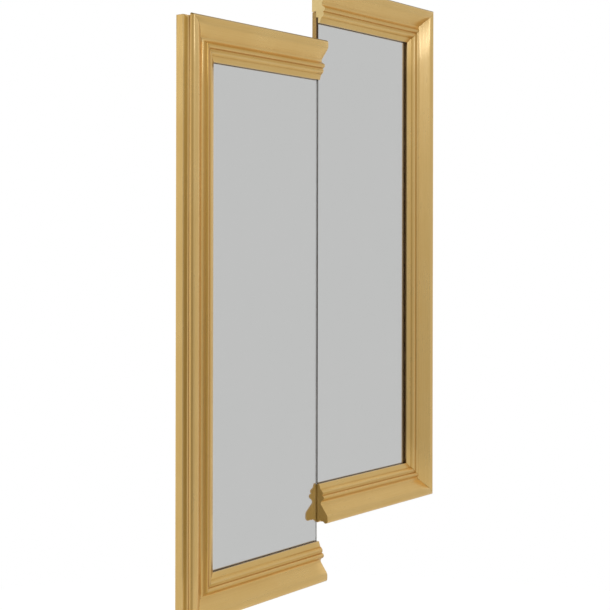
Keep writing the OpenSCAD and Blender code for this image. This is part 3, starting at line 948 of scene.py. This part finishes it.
def markMoulding(mesh, run):
    # Cut ends are marked for the finish; bare wood goes on the back and in the rebates
    mesh.materials.clear()
    mesh.materials.append(finishes["gilt"])
    mesh.materials.append(finishes["backWood"])
    back = -halves["mouldingBack"]
    rebates = back - section["glassBed"] - 0.0001
    slots = back - halves["nailDepth"] - 0.0005
    cut = mesh.attributes.new("cut", "FLOAT", "FACE")
    off = mesh.attributes["off"].data
    for face in mesh.polygons:
        ending = abs(face.normal.dot(run)) > 0.9
        cut.data[face.index].value = 1.0 if ending else 0.0
        rear = face.center.y > rebates and face.normal.y > 0.5
        wall = not ending and abs(face.normal.y) < 0.5
        sunk = wall and face.center.y > slots and off[face.vertices[0]].value == 0.0
        face.material_index = 1 if rear or sunk else 0


def makeMoulding(name, side, row, tree):
    h = halves
    foot, back = footOf(side), -h["mouldingBack"]
    upright, top = row == "stile", row == "top"
    if upright:
        corner, run, inward = (side * h["width"], back, foot), (0, 0, 1), (-side, 0, 0)
    else:
        corner = (0, back, foot + (h["height"] if top else 0))
        run, inward = (side, 0, 0), (0, 0, -1 if top else 1)
    piece = runTree(linkObject(name, mouldingSection.copy()), tree, {
        "Length": h["height"] if upright else h["width"], "Rings": h["rings"],
        "Near Mitre": 1.0 if upright else 0.0, "Far Mitre": 1.0,
        "Near Ease": h["mitreEase"] if upright else h["cutEase"], "Far Ease": h["mitreEase"],
        "Corner": corner, "Run": run, "Inward": inward, "Finish": finishes["gilt"],
        "Seed": 3.7 * (1 + ["stile", "top", "bottom"].index(row)) + side})
    shape = openMesh(piece.data)
    ends = [face for face in shape.faces if len(face.verts) > 4]
    bmesh.ops.triangulate(shape, faces=ends, quad_method="BEAUTY", ngon_method="BEAUTY")
    closeMesh(shape, piece.data)
    cutter = backCuts(side, row)
    carve = piece.modifiers.new("backCuts", "BOOLEAN")
    carve.object, carve.operation, carve.solver = cutter, "DIFFERENCE", "EXACT"
    flatten(piece)
    bpy.data.objects.remove(cutter)
    run = Vector(run)
    markMoulding(piece.data, run)
    smoothByAngle(piece.data, 34)
    for face in piece.data.polygons:
        if abs(face.normal.dot(run)) > 0.999:
            face.use_smooth = False
    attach(piece, "root")
    return piece


sweepTree = mouldingTree()
for side, word in ((-1, "left"), (1, "right")):
    for row, label, node in (("stile", "Stile", "stile"), ("top", "TopRail", "top_rail"),
                             ("bottom", "BottomRail", "bottom_rail")):
        length = makeMoulding(word + label, side, row, sweepTree)
        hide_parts(f"{word}_{node}")
        print("moulding made:", length.name, len(length.data.polygons), "faces")


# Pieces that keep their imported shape, with eased edges

def easedCopy(name, node, width, segments, chosen):
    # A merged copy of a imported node, its chosen sharp edges rounded
    shape = openMesh(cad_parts[node].data)
    bmesh.ops.dissolve_limit(shape, angle_limit=radians(0.3), verts=shape.verts, edges=shape.edges)
    edges = [e for e in shape.edges if len(e.link_faces) == 2
             and e.calc_face_angle(0) > radians(30) and chosen(e)]
    bmesh.ops.bevel(shape, geom=edges, offset=width, segments=segments, profile=0.5,
                    affect="EDGES", clamp_overlap=False)
    mesh = bpy.data.meshes.new(name)
    shape.to_mesh(mesh)
    shape.free()
    piece = linkObject(name, mesh)
    smoothByAngle(mesh, 40)
    # Keeps broad faces flat in the light
    even = piece.modifiers.new("evenFlats", "WEIGHTED_NORMAL")
    even.weight, even.keep_sharp = 100, True
    flatten(piece)
    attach(piece, "root")
    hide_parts(node)
    return piece


def longEdge(edge):
    return edge.calc_length() > 0.003


def besideFace(face):
    # 0 on the broad faces, 1 on the edges
    return 0 if abs(face.normal.y) > 0.8 else 1


def dress(piece, *names, choose=lambda face: 0):
    # Each face takes the finish that choose() counts out of names
    piece.data.materials.clear()
    for name in names:
        piece.data.materials.append(finishes[name])
    for face in piece.data.polygons:
        face.material_index = choose(face)


panes = {"arris": 0.0004, "film": 0.00005}  # film: air left to the lip and to the tape


def paneFace(face):
    # 0 glass, 1 silver, 2 painted edge, 3 ground: only the left pane's edge at the cut is bare
    if face.normal.y < -0.3:
        return 0
    if face.normal.x > 0.3 and face.center.x < 0:
        return 3
    return 1 if face.normal.y > 0.9 else 2


for word in ("left", "right"):
    pane = easedCopy(word + "MirrorPane", word + "_mirror_pane", panes["arris"], 2, longEdge)
    middle = sum(corner.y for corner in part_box(word + "_mirror_pane")) / 2
    for point in pane.data.vertices:
        point.co.y += panes["film"] if point.co.y < middle else -panes["film"]
    dress(pane, "glass", "silver", "glassEdge", "groundEdge", choose=paneFace)
print("panes silvered")

boards = {"ease": 0.0006}
for word in ("left", "right"):
    board = easedCopy(word + "BackingBoard", word + "_backing_board", boards["ease"], 2, longEdge)
    dress(board, "board", "boardEdge", choose=besideFace)
print("backing boards cut")

batten = {"ease": 0.0012}
joining = easedCopy("joiningBatten", "joining_batten", batten["ease"], 3, longEdge)
dress(joining, "plyFace", "plyEdge", choose=besideFace)
print("batten cut")

plates = {"burr": 0.00035, "holeOut": 0.022, "holeReach": 0.0025}
cornerNails = {"burr": 0.00012}


def plateEdge(edge):
    # Any edge but those of the two small screw holes
    middle = (edge.verts[0].co + edge.verts[1].co) / 2
    fromHole = abs(abs(abs(middle.x) - halves["hangerX"]) - plates["holeOut"])
    return fromHole > plates["holeReach"] or longEdge(edge)


for word in ("left", "right"):
    plate = easedCopy(word + "HangerPlate", word + "_hanger_plate", plates["burr"], 2, plateEdge)
    dress(plate, "plateSteel")

for word in ("left", "right"):
    nails = easedCopy(word + "CornerNails", word + "_corner_nails", cornerNails["burr"], 1,
                      longEdge)
    dress(nails, "nailSteel")
    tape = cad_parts[word + "_mounting_tape"]
    tape.data.materials.clear()
    tape.data.materials.append(finishes["foam"])
print("plates, nails and tape dressed")


# Screws, by Geometry Nodes, one at each point of a place list

screwShape = {
    "Shank": 0.0035, "Head": 0.007, "Core": 0.66, "Pitch": 0.0014, "Tip": 0.004,
    "Cross Length": 0.0036, "Cross Width": 0.0009, "Cross Depth": 0.001,
    "Rings": 110, "Around": 24,
}

screws = {
    "headHeight": 0.00175, "domeHeight": 0.0022, "longLength": 0.020, "shortLength": 0.016,
    "sideCount": 5, "endCount": 2, "boardEnd": 0.060, "boardBack": 0.012, "boardGap": 0.001,
    "battenRows": 6, "battenX": 0.035, "battenEnd": 0.040, "battenHeight": 0.8,
    "hangerPitch": 0.044, "plateThick": 0.002, "bumperFloor": 0.003,
    # rings spent on the head, and how they crowd and draw in towards the top of a dome
    "headRings": 8.0, "domeCrowd": 0.75, "domeRound": 3.2, "domeDraw": 0.42,
    "flatRim": 0.12, "rimEase": 0.00012,  # share of a flat head that is its rim
    "threadFrom": (0.12, 0.2), "ridgeRound": 1.6, "point": 0.12, "crossTaper": 0.45,
}


def screwTree():
    book, given = shapeTree(
        "woodScrews", Int=("Rings", "Around", "Seed"), Material=("Finish",),
        Float=("Length", "Shank", "Head", "Head Height", "Dome", "Core", "Pitch", "Tip",
               "Cross Length", "Cross Width", "Cross Depth"))
    swept = book.geo("CurveToMesh", {
        "Curve": numberedLine(book, given["Rings"]), "Fill Caps": True,
        "Profile Curve": numberedCircle(book, given["Around"])})
    s, ring, turn = screws, named(book, "ring"), named(book, "turn")
    headR, shankR = given["Head"] / 2, given["Shank"] / 2
    crown = s["headRings"]
    onHead = ((crown - ring) / crown).between(0.0, 1.0)  # 1 at the top of the head
    onShank = ((ring - crown) / (given["Rings"] - 1 - crown)).between(0.0, 1.0)
    topZ = -1 * given["Head Height"] * given["Dome"]
    flatHead = given["Head Height"] * (1 - given["Dome"])
    # a domed head rises behind the wood, a flat head tapers down into it
    headZ = topZ * (onHead ** s["domeCrowd"]) + flatHead * (1 - onHead)
    domed = headR * (1 - onHead ** s["domeRound"] * s["domeDraw"])
    flat = (headR + (shankR - headR) * (1 - onHead).between(s["flatRim"], 1.0)
            - (onHead > 0.999) * s["rimEase"])
    head = domed * given["Dome"] + flat * (1 - given["Dome"])
    depth = flatHead + (given["Length"] - flatHead) * onShank
    worm = (depth / given["Pitch"] - turn).fract()
    ridge = 1 - (worm - 0.5).size() * 2
    threaded = onShank.between(*s["threadFrom"])
    taper = ((given["Length"] - depth) / given["Tip"]).between(0.0, 1.0)
    cored = shankR * (given["Core"] + (1 - given["Core"]) * (ridge ** s["ridgeRound"]))
    body = (shankR * (1 - threaded) + cored * threaded) * (s["point"] + (1 - s["point"]) * taper)
    onBody = ring > (crown + 0.5)
    reach = head * (1 - onBody) + body * onBody
    down = headZ * (1 - onBody) + depth * onBody
    screw = turned(book, swept, reach, -1 * down)
    cutters = book.geo("JoinGeometry")
    for wide, tall in (("Cross Length", "Cross Width"), ("Cross Width", "Cross Length")):
        size = book.join(given[wide], given["Cross Depth"] * 2, given[tall])
        x, y, z = book.split(book.geo("InputPosition"))
        slim = 1 - (y < 0) * s["crossTaper"]
        blade = book.geo("SetPosition", {
            "Geometry": book.geo("MeshCube", {"Size": size}),
            "Position": book.join(x * slim, y - topZ, z * slim)})
        book.tree.links.new(blade.socket, cutters.node.inputs[0])
    crossed = book.geo("MeshBoolean", {
        "Mesh 1": screw, "Mesh 2": cutters, "Self Intersection": True},
        {"operation": "DIFFERENCE", "solver": "EXACT"})
    spin = book.node("FunctionNodeRandomValue", {"data_type": "FLOAT"},
                     {2: 0.0, 3: 2 * pi, "Seed": given["Seed"]}, out=1)
    placed = book.geo("InstanceOnPoints", {
        "Points": given["Geometry"], "Instance": crossed, "Rotation": book.join(0, spin, 0)})
    return finishTree(book, placed, given["Finish"])


def spread(first, last, count):
    return [first + (last - first) * i / (count - 1) for i in range(count)]


def boardScrewPlaces(side):
    s, h, foot = screws, halves, footOf(side)
    glassRebate = sightWidth - section["glassRebate"]
    boardEdge = glassRebate - section["boardLedge"] + s["boardGap"]
    line, end = (boardEdge + glassRebate) / 2, s["boardEnd"]
    low, high, outer = foot + line, foot + h["height"] - line, h["width"] - line
    return ([(side * outer, z) for z in spread(low + end, high - end, s["sideCount"])]
            + [(side * x, z) for x in spread(end, outer - end, s["endCount"]) for z in (low, high)])


def battenScrewPlaces():
    last = screws["battenHeight"] / 2 - screws["battenEnd"]
    return [(side * screws["battenX"], z) for z in spread(-last, last, screws["battenRows"])
            for side in (-1, 1)]


def hangerScrewPlaces():
    h = halves
    return [(side * h["hangerX"] + x * screws["hangerPitch"] / 2,
             footOf(side) + h["height"] - h["hangerDrop"]) for side in (-1, 1) for x in (-1, 1)]


def bumperPlaces():
    h = halves
    return [(side * (h["width"] - h["bumperIn"]), footOf(side) + z) for side in (-1, 1)
            for z in (h["bumperEnd"], h["height"] - h["bumperEnd"])]


def makeScrews(name, node, places, wall, length, domed, tree, seed):
    piece = runTree(pointsObject(name, places, -wall), tree, {
        **screwShape, "Length": length, "Dome": 1.0 if domed else 0.0, "Seed": seed,
        "Head Height": screws["domeHeight"] if domed else screws["headHeight"],
        "Finish": finishes["zinc"]})
    closeMesh(openMesh(piece.data, merge=False), piece.data)
    smoothByAngle(piece.data, 38)
    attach(piece, "root")
    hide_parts(node)
    print("screws driven:", name, len(places), "with", len(piece.data.polygons), "faces")


def allScrews():
    tree = screwTree()
    board, long, short = screws["boardBack"], screws["longLength"], screws["shortLength"]
    plate = halves["mouldingBack"] - screws["plateThick"]
    floor = halves["mouldingBack"] + halves["bumperSeat"] - screws["bumperFloor"]
    for name, node, places, wall, length, domed, seed in (
            ("leftBoardScrews", "left_board_screws", boardScrewPlaces(-1), board, long, False, 3),
            ("rightBoardScrews", "right_board_screws", boardScrewPlaces(1), board, long, False, 5),
            ("battenScrews", "batten_screws", battenScrewPlaces(), 0.0, long, False, 8),
            ("hangerScrews", "hanger_screws", hangerScrewPlaces(), plate, short, True, 11),
            ("bumperScrews", "bumper_screws", bumperPlaces(), floor, short, True, 13)):
        makeScrews(name, node, places, wall, length, domed, tree, seed)


allScrews()


# Rubber bumpers: a turned section at each place

bumper = {
    "radius": 0.009, "height": 0.012, "well": 0.004, "hole": 0.00175, "floor": 0.003,
    "around": 64, "footEase": 0.0004, "nose": 0.0017, "noseIn": 0.0018,
    # a groove round the side, as distance in from the radius and y
    "groove": ((0, -0.0052), (0.0005, -0.0047), (0.0005, -0.0041), (0.0001, -0.0036),
               (0.0001, -0.0020)),
    # the mouth of the well, as distance out from the well and y
    "mouth": ((0.0008, 0.0), (0.0002, -0.0003), (0, -0.0009)),
}


def bumperTree():
    book, given = shapeTree("rubberBumpers", Object=("Places",), Int=("Around",),
                            Material=("Finish",))
    swept = book.geo("CurveToMesh", {
        "Curve": numberedCircle(book, given["Around"]),
        "Profile Curve": book.geo("MeshToCurve", {"Mesh": given["Geometry"]})})
    shape = turned(book, swept, named(book, "reach"), named(book, "rise"))
    places = book.geo("ObjectInfo", {"Object": given["Places"]}, out="Geometry")
    placed = book.geo("InstanceOnPoints", {"Points": places, "Instance": shape})
    return finishTree(book, placed, given["Finish"])


def makeBumpers():
    b = bumper
    radius, foot, ease = b["radius"], -b["height"], b["footEase"]  # the foot sits in the moulding
    outline = [(b["hole"], foot), (radius - ease, foot), (radius, foot + ease)]
    outline += [(radius - x, y) for x, y in b["groove"]]
    outline += arcPoints((radius - b["noseIn"], -b["nose"]), b["nose"], 0, 90)
    outline += [(b["well"] + x, y) for x, y in b["mouth"]]
    outline += [(b["well"], foot + b["floor"]), (b["hole"], foot + b["floor"])]
    reach, rise = zip(*outline)
    mesh = outlineMesh("bumperSection", outline, {"reach": reach, "rise": rise})
    places = pointsObject("bumperPlaces", bumperPlaces(), 0)
    piece = runTree(linkObject("wallBumpers", mesh), bumperTree(), {
        "Places": places, "Around": b["around"], "Finish": finishes["rubber"]})
    bpy.data.objects.remove(places)
    closeMesh(openMesh(piece.data), piece.data)
    smoothByAngle(piece.data, 38)
    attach(piece, "root")
    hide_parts("wall_bumpers")
    print("bumpers turned,", len(piece.data.polygons), "faces")


makeBumpers()

for mesh in [m for m in bpy.data.meshes if m.users == 0]:
    bpy.data.meshes.remove(mesh)
